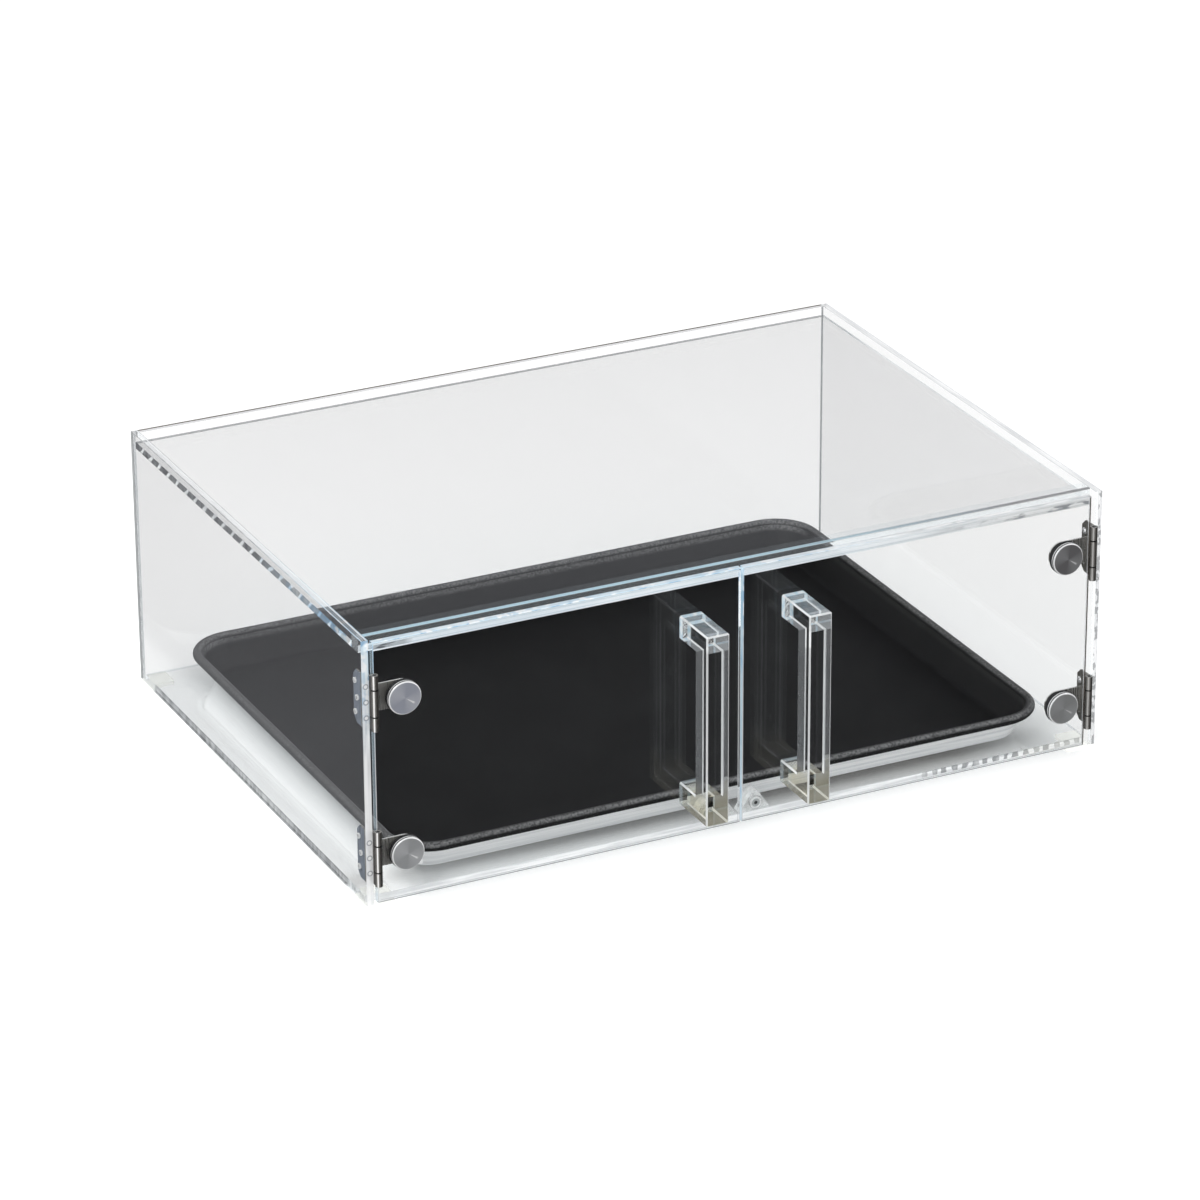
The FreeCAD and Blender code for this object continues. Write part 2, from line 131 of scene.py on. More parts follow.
class Tree:
    def __init__(self, node_tree):
        self.nodes, self.links = node_tree.nodes, node_tree.links
        self.nodes.clear()

    def node(self, kind, settings=None, sockets=None):
        made = self.nodes.new(kind)
        for name, setting in (settings or {}).items():
            setattr(made, name, setting)
        for key, value in (sockets or {}).items():
            for each in value if isinstance(value, list) else [value]:
                if isinstance(each, Flow):
                    self.links.new(each.socket, made.inputs[key])
                else:
                    made.inputs[key].default_value = each
        return Flow(self, made.outputs[0]) if made.outputs else made

    def mix(self, share, first, second):
        made = self.node("ShaderNodeMix", {"data_type": "RGBA"}, {0: share, 6: first, 7: second})
        return Flow(self, made.socket.node.outputs[2])

    def blend(self, share, first, second):
        return self.node("ShaderNodeMixShader", {}, {0: share, 1: first, 2: second})

    def principled(self, sockets):
        return self.node("ShaderNodeBsdfPrincipled", {}, sockets)

    def transparent(self, colour):
        return self.node("ShaderNodeBsdfTransparent", {}, {"Color": colour})

    def combine(self, **parts):
        return self.node("ShaderNodeCombineXYZ", {}, parts)

    def ramp(self, share, low, high, first=0.0, second=1.0):
        return self.node("ShaderNodeMapRange", {}, {
            "Value": share, "From Min": low, "From Max": high, "To Min": first, "To Max": second})

    def band(self, share, low, high, soft):
        return self.ramp(share, low - soft, low) * self.ramp(share, high + soft, high)

    def noise(self, spot, scale, detail=2.0, stretch=(1, 1, 1)):
        spot = self.node("ShaderNodeMapping", {}, {"Vector": spot, "Scale": stretch})
        return self.node("ShaderNodeTexNoise", {}, {
            "Vector": spot, "Scale": scale, "Detail": detail}).output("Fac")

    def bump(self, height, strength, distance):
        return self.node("ShaderNodeBump", {}, {
            "Height": height, "Strength": strength, "Distance": distance})

    def parts(self, vector):
        split = self.node("ShaderNodeSeparateXYZ", {}, {0: vector})
        return [split.output(axis) for axis in "XYZ"]

    def vector(self, operation, *others):
        return self.node("ShaderNodeVectorMath", {"operation": operation},
                         dict(enumerate(others)))

    def where(self):
        reader = self.node("ShaderNodeTexCoord")
        at = SimpleNamespace(spot=reader.output("Object"), facing=reader.output("Normal"))
        at.x, at.y, at.z = self.parts(at.spot)
        at.inside = self.node("ShaderNodeNewGeometry").output("Backfacing")
        at.nx, at.ny, at.nz = (part * (1 - at.inside * 2) for part in self.parts(at.facing))
        return at

    def surface(self, shader):
        self.node("ShaderNodeOutputMaterial", {}, {"Surface": shader})


def finish(name, colour):
    made = bpy.data.materials.new(name)
    made.use_nodes = True
    made.diffuse_color = (*colour, 1)
    return made, Tree(made.node_tree)


def grey(level):
    return (level, level, level, 1)


def middle(name):
    return [(low + high) / 2 for low, high in zip(*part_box(name))]


print("sockets can be added, multiplied and mixed")

# %% [markdown]
# ## A white studio
# The bin stands on white, lit softly from all round. Light Path tells what a ray is for: the
# world and the floor are plain white for the rays that look, and an honest mid level for the
# rays that light. The floor keeps most of its own shading, so the shadow below the pan stays
# on it. It also glows a little, and that glow is painted light and shade: none below the pan,
# as a painted shadow, and twice as much to the left of it, as painted light, to match the
# photograph. For rays that a surface has mirrored, the world is grey overhead and the floor
# dim, as the dark room round a real table is: white there would lie as a veil on each panel.
# Glossy Depth counts those mirrorings, also where the ray has since passed through a panel.

# %% What a ray is for
def ray_kinds(tree):
    path = tree.node("ShaderNodeLightPath")
    looking = path.output("Is Camera Ray").math("MAXIMUM", path.output("Is Transmission Ray"))
    return looking, path.output("Glossy Depth") > 0.5


print("rays that look and rays that were mirrored are told apart")

# %% World
world = bpy.data.worlds.new("studio")
bpy.context.scene.world = world
world.use_nodes = True
tree = Tree(world.node_tree)
looking, mirror = ray_kinds(tree)
height = tree.parts(tree.node("ShaderNodeTexCoord").output("Generated"))[2]
dim = tree.ramp(height, 0.05, 0.35)
mirrored = tree.mix(dim, (0.9, 0.92, 0.95, 1), (0.21, 0.215, 0.23, 1))
shown = tree.mix(looking, grey(0.85), grey(1))
shown = tree.mix(mirror, shown, mirrored)
background = tree.node("ShaderNodeBackground", {}, {"Color": shown, "Strength": 1.0})
tree.node("ShaderNodeOutputWorld", {}, {"Surface": background})
print("world: white to look at, dim overhead for mirrored rays")

# %% Floor
half_floor, floor_z = 6.0, -0.05 * mm
corners = [(-1, -1), (1, -1), (1, 1), (-1, 1)]
floor_mesh = bpy.data.meshes.new("floor")
floor_mesh.from_pydata([(x * half_floor, y * half_floor, floor_z) for x, y in corners], [],
                       [(0, 1, 2, 3)])
floor = bpy.data.objects.new("floor", floor_mesh)
bpy.context.scene.collection.objects.link(floor)

floor_finish, tree = finish("studio_floor", (1, 1, 1))
looking, mirror = ray_kinds(tree)
pan_low, pan_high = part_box("sheet_pan")
pan_middle, pan_half = (pan_low + pan_high) / 2, (pan_high - pan_low) / 2
x, y, _ = tree.parts(tree.node("ShaderNodeTexCoord").output("Object"))
beyond = (abs(x - pan_middle.x) - pan_half.x).math("MAXIMUM", abs(y - pan_middle.y) - pan_half.y)
# The floor's glow is painted: none under the pan, a painted shadow, and double left of it.
under = tree.ramp(beyond, 22 * mm, -12 * mm)
painted_light_left_of_pan = tree.ramp(x, pan_low.x + 12 * mm, pan_low.x - 4 * mm)
painted_floor_glow = 0.2 - under * (1 - painted_light_left_of_pan) * 0.2 + painted_light_left_of_pan * 0.2
shade = tree.mix(looking, grey(0.75), grey(0.96))
mirrored = tree.mix(tree.ramp(y, -0.25, -0.05), (0.07, 0.07, 0.075, 1), (0.45, 0.45, 0.46, 1))
shade = tree.mix(mirror, shade, mirrored)
matt = tree.node("ShaderNodeBsdfDiffuse", {}, {"Color": shade})
glow = tree.node("ShaderNodeEmission", {}, {
    "Color": tree.mix(looking * (1 - mirror) * painted_floor_glow, grey(0), grey(1)), "Strength": 1.0})
tree.surface(tree.node("ShaderNodeAddShader", {}, {0: matt, 1: glow}))
floor_mesh.materials.append(floor_finish)
print("floor", 2 * half_floor, "m wide")


# %% Lamps
def softbox(name, spot, target, width, depth, watts):
    lamp = bpy.data.lights.new(name, "AREA")
    lamp.shape, lamp.size, lamp.size_y, lamp.energy = "RECTANGLE", width, depth, watts
    made = bpy.data.objects.new(name, lamp)
    made.location = spot
    aim = Vector(target) - Vector(spot)
    made.rotation_euler = aim.to_track_quat("-Z", "Y").to_euler()
    bpy.context.scene.collection.objects.link(made)
    return made


softbox("key_softbox", (-1.6, -1.3, 2.0), (0, 0, 0.1), 1.0, 1.0, 15)
softbox("fill_softbox", (1.9, -1.2, 1.3), (0, 0, 0.1), 0.8, 1.2, 6)
softbox("front_card", (-0.5, -2.2, 0.3), (0, -0.17, 0.1), 0.5, 0.4, 3)
softbox("left_card", (-1.7, 0.1, 0.2), (-0.26, -0.17, 0.1), 0.25, 0.5, 5)
softbox("right_card", (1.5, -1.5, 0.2), (0.2, -0.17, 0.1), 0.5, 0.4, 2)
print("two softboxes and three cards")

# %% [markdown]
# ## Clear acrylic
# Acrylic is a little less glossy than glass: its refractive index is 1.49. The Principled
# shader with full transmission bends light as the solid does. Rays from lamps pass straight
# through, so that the pan inside is lit. After a few bounces inside a panel a ray would be
# cut off and turn black, so from the third mirror bounce on it meets a pale surface instead,
# which is what light piped along a real sheet looks like. A ray that came in through one of
# the painted edges was not bent there, so it must leave unbent too: Transmission Depth counts
# the bends, and inside a sheet that count is odd for every ray that came in through a face.
# In thick bar a share of the rays, `early`, meets the pale surface after one mirror bounce.
# A face counts as turned to an axis when its normal's share of that axis is above `facing`.

# %% Clear sheet
left_low, left_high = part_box("left_side_panel")
half_width, wall = -left_low.x, left_high.x - left_low.x
front, back = left_low.y, left_high.y
acrylic_ior = 1.49
facing = 0.8


def glass(tree, at, inner, tint=grey(1), early=0.0):
    ripple = tree.noise(at.spot, 9.0, 1.0)
    haze = tree.noise(at.spot, 60.0, 3.0)
    clear = tree.principled({
        "Base Color": tint, "Transmission Weight": 1.0, "IOR": acrylic_ior,
        "Roughness": tree.ramp(haze, 0.45, 0.75, 0.0, 0.03),
        "Normal": tree.bump(ripple, 0.05, 0.002)})
    path = tree.node("ShaderNodeLightPath")
    bounces = path.output("Glossy Depth")
    lost = (bounces > 2.5).math("MAXIMUM", (bounces > 0.5) * at.inside * early)
    piped = tree.principled({
        "Base Color": tree.mix(haze, inner, (0.93, 0.94, 0.94, 1)), "Roughness": 0.3})
    bent = (path.output("Transmission Depth") * 0.5).math("FRACT") > 0.25
    straight = tree.transparent((0.97, 0.98, 0.98, 1))
    unbent = at.inside * (1 - bent) * (bounces < 0.5)
    return tree.blend(unbent, tree.blend(lost, clear, piped), straight)


def lamplit(tree, shader):
    path = tree.node("ShaderNodeLightPath")
    lamp = path.output("Is Shadow Ray").math("MAXIMUM", path.output("Is Diffuse Ray"))
    open_way = tree.transparent((0.97, 0.98, 0.98, 1))
    return tree.blend(lamp, shader, open_way)


# The paint also glows faintly: that glow is painted light.
def painted(tree, shader, colour, solid, glow=0.1):
    paint = tree.principled({
        "Base Color": colour, "Roughness": 0.2, "IOR": acrylic_ior,
        "Emission Color": colour, "Emission Strength": glow})
    return tree.blend(solid, shader, paint)


print("panels", round(wall / mm, 2), "mm thick, front at", round(front, 4))

# %% [markdown]
# ## Polished edges
# The cut edges carry the whole look of the bin. Each one is nearly white, with a thin line
# along both its corners and faint streaks between them, because it pipes light from all over
# the panel. Near the front left corner it is ice blue. Where an edge is glued to another
# panel it all but vanishes. Light that runs the length of a panel is mirrored up to a hundred
# times or so on its way, which is too much for a short render. So each edge is painted: a
# field, its lines, and marks where light jumps.
# The painters share three values on `at`: `across` is how far through the sheet a point lies,
# from 0 to 1, `ice` how blue its light is, and `tint` the colour that the faces let through.


# %% Edge colours
def edge_coat(tree, at, thin, marks=0.0):
    stretch = [22.0, 22.0, 22.0]
    stretch["XYZ".index(thin)] = 420.0
    streak = tree.ramp(tree.noise(at.spot, 1.0, 3.0, tuple(stretch)), 0.6, 0.4)
    corner = tree.ramp(abs(at.across - 0.5), 0.36, 0.45)
    at.ice = (tree.ramp(at.z, 0.1, 0.165) * tree.ramp(at.y, 0.02, -0.13)
              * tree.ramp(at.x, 0.12, -0.02))
    field = tree.mix(at.ice, (0.88, 0.885, 0.89, 1), (0.84, 0.92, 0.96, 1))
    line = tree.mix(at.ice, (0.42, 0.43, 0.45, 1), (0.38, 0.58, 0.74, 1))
    colour = tree.mix((corner * 0.75).math("MAXIMUM", streak * 0.55), field, line)
    calm = 1 - (at.nz > facing) * 0.8
    patch = tree.ramp(tree.noise(at.spot, 95.0, 2.0), 0.49, 0.57) * at.ice * calm
    colour = tree.mix(patch * tree.ramp(at.z, 0.12, 0.155) * 0.7, colour, (0.12, 0.33, 0.58, 1))
    fleck = tree.ramp(tree.noise(at.spot, 140.0, 2.0), 0.52, 0.6) * at.ice
    colour = tree.mix(fleck * 0.8, colour, grey(1))
    return tree.mix(marks, colour, (0.045, 0.048, 0.055, 1))


def bottom_rail(tree, at, facing_side, middle_share):
    along = facing_side * tree.band(at.y, front + 35 * mm, back - 25 * mm, 6 * mm)
    hatch = tree.ramp(tree.noise(at.spot, 1.0, 2.0, (60, 420, 60)), 0.42, 0.58)
    rail = tree.ramp(abs(at.across - 0.5), middle_share, 0.42, 0.4, 0.7) + hatch * 0.3
    return along, rail


def sheet(name, thin, start, paint, glow=0.1):
    material, tree = finish(name, (0.9, 0.95, 0.97))
    at = tree.where()
    depth = {"X": abs(at.x), "Y": at.y, "Z": at.z}[thin]
    at.across, at.tint = (depth - start) * (1 / wall), grey(1)
    colour, solid = paint(tree, at)
    turned = {"X": at.nx, "Y": at.ny, "Z": at.nz}[thin]
    through = tree.transparent((0.96, 0.97, 0.98, 1))
    edge = painted(tree, through, colour, solid, glow)
    clear = glass(tree, at, (0.7, 0.82, 0.88, 1), at.tint)
    tree.surface(lamplit(tree, tree.blend(abs(turned) < facing, clear, edge)))
    return material


print("edges are painted in the plane of each panel")


# %% [markdown]
# ## What each edge shows
# On the side panels the front edges differ. The right one is half clear, with dark spots,
# most of them low down. The left one turns white low down and carries painted rings where the
# hinge screws are seen through it. Its top edge has a broken dark line along each corner and a
# pale line beside one of them, and is half clear between. Both back edges are grey. Dark
# hatching runs along the bottom of the left side.

# %% Side panels
levels = [middle(f"left_{level}_side_leaf")[2] for level in ("lower", "upper")]
screw_pitch, ring_radius = 10.5 * mm, 1.3 * mm


# Painted rings on the left front edge, where the hinge screws are seen through it.
def painted_screw_rings(tree, at, colour, front_edge):
    aloft = at.z > (levels[0] + levels[1]) / 2
    from_hinge = abs(at.z - levels[0] - aloft * (levels[1] - levels[0]))
    from_screw = from_hinge.math("MINIMUM", abs(from_hinge - screw_pitch))
    aside = (at.across - 0.45) * wall
    radius = (from_screw * from_screw + aside * aside).math("SQRT")
    ring = tree.band(radius, ring_radius, ring_radius + 0.5 * mm, 0.25 * mm) * front_edge
    colour = tree.mix(ring * 0.7, colour, (0.25, 0.27, 0.3, 1))
    core = tree.ramp(radius, ring_radius - 0.1 * mm, ring_radius - 0.4 * mm) * front_edge
    return tree.mix(core * 0.9, colour, grey(0.98))


def top_lines(tree, at, colour, above):
    pale = above * tree.ramp(at.across, 0.1, 0.2) * tree.ramp(at.across, 0.3, 0.25)
    colour = tree.mix(pale, colour, (0.93, 0.95, 0.97, 1))
    broken = tree.ramp(tree.noise(at.spot, 1.0, 2.0, (30, 160, 30)), 0.4, 0.55, 0.45, 1.0)
    corners = above * (tree.ramp(at.across, 0.8, 0.88) + tree.ramp(at.across, 0.08, 0.04))
    return tree.mix(corners * broken * 0.8 * (1 - at.ice), colour, (0.12, 0.125, 0.13, 1))


def side_edges(tree, at):
    left_front, right_front = (at.x < 0) * (at.ny < -facing), (at.x > 0) * (at.ny < -facing)
    spots = tree.noise(at.spot, 1.0, 2.0, (260, 60, 190))
    low_down = tree.ramp(at.z, 0.085, 0.05)
    marks = (right_front * tree.ramp(at.across, 0.35, 0.5)
             * tree.ramp(spots + low_down * 0.06, 0.51, 0.57) * 0.75)
    marks = marks + left_front * low_down * tree.ramp(spots, 0.54, 0.64) * 0.2
    colour = edge_coat(tree, at, "X", marks)
    behind = at.ny > facing
    dull = behind * tree.ramp(abs(at.across - 0.5), 0.15, 0.3, 0.45, 1.0)
    colour = tree.mix(dull * 0.9, colour, (0.17, 0.175, 0.18, 1))
    colour = tree.mix(left_front * tree.ramp(at.z, 0.11, 0.08) * 0.55, colour, grey(0.97))
    colour = painted_screw_rings(tree, at, colour, left_front)
    above = (at.nz > facing) * (at.x < 0)
    colour = top_lines(tree, at, colour, above)
    under, rail = bottom_rail(tree, at, (at.nz < -facing) * (at.x < 0), 0.25)
    colour = tree.mix(under * rail, colour, (0.1, 0.105, 0.11, 1))
    clear_half = right_front * tree.ramp(at.across, 0.5, 0.35)
    clear_top = above * tree.ramp(abs(at.across - 0.55), 0.3, 0.22)
    solid = 0.75 + behind * 0.2 - clear_half * 0.55 - clear_top * 0.5
    return colour, solid - (at.nz < -facing) * 0.5 + under * 0.65


side_sheet = sheet("clear_side_sheet", "X", half_width - wall, side_edges)
print("side panels: hinges at", [round(level, 4) for level in levels])

# %% [markdown]
# The back's rim is grey with a brown outer corner. The lid is glued between the panels, and
# its joint on the left shows as a row of slanted dark dashes.


# %% Back and lid
def back_edges(tree, at):
    above = at.nz > facing
    colour = tree.mix(above * 0.7, edge_coat(tree, at, "Y"), (0.72, 0.725, 0.73, 1))
    brown = above * tree.ramp(at.across, 0.58, 0.66)
    colour = tree.mix(brown, colour, (0.1, 0.075, 0.06, 1))
    return colour, 0.15 + above * 0.8


lid_low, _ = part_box("top_panel")
dash_pitch = 15.5 * mm


def lid_edges(tree, at):
    slant = (at.y + at.z * 1.1) * (1 / dash_pitch)
    step = (slant + tree.noise(at.spot, 70.0, 2.0) * 0.4).math("FRACT")
    hatch = tree.ramp(tree.noise(at.spot, 1.0, 2.0, (60, 650, 60)), 0.4, 0.6, 0.8, 1.0)
    beside, behind = at.nx < -facing, at.ny > facing
    dash = tree.ramp(step, 0.8, 0.72) * beside * tree.ramp(at.y, -0.14, 0.0, 0.45, 1.0)
    colour = edge_coat(tree, at, "Z", dash * hatch * 0.95)
    colour = tree.mix(behind * 0.85, colour, (0.25, 0.25, 0.255, 1))
    return colour, beside * 0.95 + behind * 0.7 + (at.nx > facing) * 0.12


back_sheet = sheet("clear_back_sheet", "Y", back - wall, back_edges)
lid_sheet = sheet("clear_lid_sheet", "Z", lid_low.z, lid_edges)
print("lid", round(lid_low.z / mm, 2), "mm up, dashes every", round(dash_pitch / mm, 1), "mm")

# %% [markdown]
# The base's front edge carries short dashes towards the right, with a thin line along both
# its corners. In front of the pan the base itself is tinted dark. That is the pan's shadow,
# painted: it widens and deepens to the right.

# %% Base
base_low, base_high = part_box("base_panel")
tick_pitch = 7.6 * mm


def base_edges(tree, at):
    jitter = tree.noise(at.spot, 110.0, 2.0)
    step = (at.x * (1 / tick_pitch) + jitter * 0.9).math("FRACT")
    ahead = at.ny < -facing
    dash = tree.ramp(step, 0.6, 0.5) * tree.ramp(at.x, 0.128, 0.14) * ahead
    dash = dash * tree.ramp(at.across, 0.15, 0.25) * tree.ramp(jitter, 0.35, 0.5, 0.6, 1.0)
    rule = ahead * tree.ramp(at.x, 0.1, 0.14) * tree.ramp(abs(at.across - 0.5), 0.4, 0.46)
    foot = pan_low.y + 14 * mm
    steep = tree.ramp(at.x, -0.1, 0.05, 1 / (18 * mm), 1 / (32 * mm))
    contact = tree.ramp((at.y - foot) * steep, -1.0, 0.0).math("POWER", 1.5)
    contact = contact * tree.ramp(at.x, 0.24, 0.17) * tree.ramp(at.x, -0.2, 0.06, 0.35, 1.0)
    at.tint = tree.mix(contact * tree.ramp(at.y, foot + 20 * mm, foot + 8 * mm),
                       grey(1), (0.42, 0.4, 0.385, 1))
    beside, rail = bottom_rail(tree, at, at.nx < -facing, 0.3)
    marks = (dash * 0.72).math("MAXIMUM", beside * rail).math("MAXIMUM", rule * 0.5)
    colour = edge_coat(tree, at, "Z", marks)
    colour = tree.mix(tree.ramp(at.x, 0.2, 0.215) * ahead * 0.15, colour, (0.75, 0.72, 0.6, 1))
    return colour, 0.05 + ahead * 0.75 + beside * 0.85


base_sheet = sheet("clear_base_sheet", "Z", base_low.z, base_edges, 0.35)
print("base", base_low, base_high)

# %% [markdown]
# The doors' edges that look left are ice blue, and fainter at the left hinges. The right
# door's outer edge has a dark line where it is seen from inside, and its top edge a grey
# smear. The bottom edges are dark along the front.


# %% Doors
def door_edges(tree, at):
    colour = edge_coat(tree, at, "Y")
    low_ice = (at.nx < -facing) * tree.ramp(at.x, 0.1, 0.05)
    colour = tree.mix(low_ice * 0.6, colour, (0.5, 0.72, 0.87, 1))
    bluer = low_ice * tree.ramp(tree.noise(at.spot, 30.0, 1.0), 0.5, 0.6)
    colour = tree.mix(bluer * 0.6, colour, (0.22, 0.45, 0.68, 1))
    outer = (at.nx > facing) * at.inside
    dark = outer * tree.ramp(at.across, 0.85, 0.75) * (at.x > 0.1)
    colour = tree.mix(dark, colour, (0.06, 0.045, 0.035, 1))
    smear = tree.ramp(tree.noise(at.spot, 1.0, 3.0, (45, 300, 45)), 0.5, 0.58)
    smear = smear * (at.nz > facing) * tree.ramp(at.x, 0.05, 0.15)
    colour = tree.mix(smear * 0.6, colour, (0.3, 0.33, 0.36, 1))
    sill = (at.nz < -facing) * tree.ramp(at.across, 0.62, 0.5)
    colour = tree.mix(sill * 0.9, colour, (0.14, 0.14, 0.145, 1))
    faint = outer * 0.55 + (at.nx < -facing) * tree.ramp(at.x, -0.2, -0.22) * 0.45
    return colour, 0.7 - (at.nz < -facing) * 0.4 + sill * 0.6 - faint + dark * 0.8


door_sheet = sheet("clear_door_sheet", "Y", front, door_edges, 0.2)
print("doors: ice blue towards the left, a dark line at the right edge")

# %% [markdown]
# ## Thick clear bar
# The header bar and the handles are cut from thicker stock. The header's upper half is seen
# through, below a line along its front corner that is ice blue on the left and dark on the
# right. Its lower half, behind the top of the doors, is white, and light grey to the right.
# As on the edges, that white and the ice blue line are painted light. The handles are
# bevelled all round, and each bevel catches light as a thin white line, a painted highlight;
# their top faces get a faint painted reflection. Their ends, glued to the doors, are ice blue
# at the top, and the lower legs have a warm tint. The catch blocks are milky, most of all at
# their sides. The feet are soft plastic, and glow slightly to be as pale as in the
# photograph: that glow is painted light.

# %% Header bar
header_low, header_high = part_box("header_bar")
header_bar, tree = finish("clear_header_bar", (0.9, 0.94, 0.96))
at = tree.where()
rise_share = (at.z - header_low.z) * (1 / (header_high.z - header_low.z))
ahead, above = at.ny < -facing, at.nz > facing
lower = tree.ramp(rise_share, 0.5, 0.42)
to_right = tree.ramp(at.x, 0.0, 0.2)
# The white field and the ice blue line along the top are painted light.
field = tree.mix(to_right, (0.88, 0.93, 0.97, 1), (0.74, 0.745, 0.75, 1))
line = tree.mix(to_right, (0.5, 0.6, 0.68, 1), (0.42, 0.425, 0.43, 1))
streak = tree.ramp(tree.noise(at.spot, 1.0, 3.0, (14, 40, 320)), 0.6, 0.42)
lines = tree.band(rise_share, 0.1, 0.13, 0.03) + tree.band(rise_share, 0.36, 0.39, 0.03)
colour = tree.mix((lines * 0.4 + streak * 0.35).math("MINIMUM", 1.0), field, line)
blot = tree.ramp(tree.noise(at.spot, 1.0, 3.0, (90, 40, 420)), 0.47, 0.58)
corner_smear = tree.band(at.x, -0.25, -0.229, 0.006) * tree.band(rise_share, 0.12, 0.32, 0.06)
right_smear = tree.ramp(at.x, 0.13, 0.21) * tree.band(rise_share, 0.08, 0.3, 0.08)
blot = blot * right_smear * 0.85 + (blot * 0.5 + 0.5) * corner_smear
colour = tree.mix(blot, colour, (0.12, 0.13, 0.145, 1))
top_line = above * tree.ramp(at.y, header_low.y + 2.5 * mm, header_low.y + 1.9 * mm)
top_line = top_line + ahead * tree.ramp(rise_share, 0.91, 0.96)
arris = tree.mix(to_right, (0.42, 0.6, 0.7, 1), (0.2, 0.2, 0.21, 1))
colour = tree.mix(top_line, colour, arris)
solid = ahead * (lower * 0.84 + 0.06) + top_line * 0.85 + (abs(at.nx) > facing) * 0.15 + 0.02
through = tree.transparent((0.97, 0.98, 0.985, 1))
tree.surface(lamplit(tree, painted(tree, through, colour, solid.math("MINIMUM", 1.0))))
print("header from", header_low, "to", header_high)

# %% Handles
grip_low, grip_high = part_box("left_handle")
handle_bar, tree = finish("clear_handle_bar", (0.93, 0.94, 0.9))
at = tree.where()
flat = abs(at.nx).math("MAXIMUM", abs(at.ny)).math("MAXIMUM", abs(at.nz))
bevel = flat < 0.9
upper = tree.ramp(at.z, 0.1, 0.12)
speck = tree.ramp(tree.noise(at.spot, 420.0, 2.0), 0.42, 0.6)
pad = tree.ramp(at.y, front - 5.5 * mm, front - 3.5 * mm) * (abs(at.ny) < facing)
lower_leg = tree.ramp(at.z, grip_low.z + 24 * mm, grip_low.z + 12 * mm)
deep = tree.ramp(at.z, grip_low.z + 6 * mm, grip_low.z + 1 * mm)
colour = tree.mix(speck, (0.55, 0.74, 0.87, 1), (0.88, 0.94, 0.97, 1))
# Each bevel is painted pale as a painted highlight.
colour = tree.mix(bevel, colour, (0.9, 0.92, 0.93, 1))
# A faint painted reflection on the top faces.
veil = (at.nz > 0.9) * upper * 0.16
solid = (bevel * 0.55).math("MAXIMUM", pad * (0.2 + upper * 0.45)).math("MAXIMUM", veil)
tint = tree.mix(lower_leg, grey(1), (0.93, 0.88, 0.72, 1))
tint = tree.mix(deep * 0.8, tint, (0.86, 0.8, 0.62, 1))
warm = tree.mix(lower_leg, (0.5, 0.52, 0.53, 1), (0.42, 0.38, 0.26, 1))
clear = glass(tree, at, warm, tint, lower_leg * 0.35 + 0.3)
tree.surface(lamplit(tree, painted(tree, clear, colour, solid)))
print("handles", [round(v / mm, 1) for v in grip_high - grip_low], "mm")

# %% Catch blocks
catch_bar, tree = finish("clear_catch_bar", (0.9, 0.92, 0.92))
at = tree.where()
milk = tree.ramp(tree.noise(at.spot, 260.0, 2.0), 0.35, 0.65, 0.16, 0.4)
sides = (abs(at.ny) < facing) * 0.55
clear = glass(tree, at, (0.75, 0.78, 0.78, 1))
tree.surface(lamplit(tree, painted(tree, clear, (0.92, 0.93, 0.93, 1), milk + sides)))
print("catch blocks")

# %% Soft plastic of the feet
clear_foot, tree = finish("soft_clear_plastic", (0.94, 0.93, 0.88))
at = tree.where()
milk = tree.noise(at.spot, 220.0, 2.0)
# The feet's glow is painted light.
pad = tree.principled({
    "Base Color": tree.mix(milk, (0.96, 0.955, 0.93, 1), (0.9, 0.89, 0.85, 1)),
    "Roughness": tree.ramp(milk, 0.3, 0.7, 0.3, 0.5), "IOR": 1.45,
    "Emission Color": (0.95, 0.94, 0.88, 1), "Emission Strength": 0.45})
see_through = tree.transparent((0.98, 0.98, 0.97, 1))
solid = 0.3 + (abs(at.nz) < facing) * 0.2
tree.surface(lamplit(tree, tree.blend(solid, see_through, pad)))
print("feet")

# %% [markdown]
# ## Metals and rubber
# The hinges are brushed steel. Brushing cuts fine grooves, and each groove throws light up
# and down across its length, which is why a round barrel shows one bright upright streak.
# Such grooves are far finer than a pixel, so a bump would only flicker. Instead the normal
# itself is swung to and fro by a sine, and turned from the object's axes to the world's.
# The hinges get more paint on top. Their knuckles carry a painted highlight, an upright streak
# that is brighter on the left, painted shade on their darker flanks, and a dark gap at each
# joint. `turned` says how far a point of the barrel looks to the right, as the camera sees it.
# The door leaves' thin edges carry a pale painted highlight. The leaves inside the side panels
# carry painted light and shade: lighter and bluer on the left, darker on the right.


# %% Grooves in the normal
def grooved(tree, at, swing):
    leaning = tree.vector("ADD", at.facing, swing)
    leaning = tree.node("ShaderNodeVectorTransform", {
        "vector_type": "NORMAL", "convert_from": "OBJECT", "convert_to": "WORLD"},
        {"Vector": leaning})
    return tree.vector("NORMALIZE", leaning)


def wave(value, pitch, share):
    return (value * (2 * math.pi / pitch)).math("SINE") * share


print("grooves lean the normal")


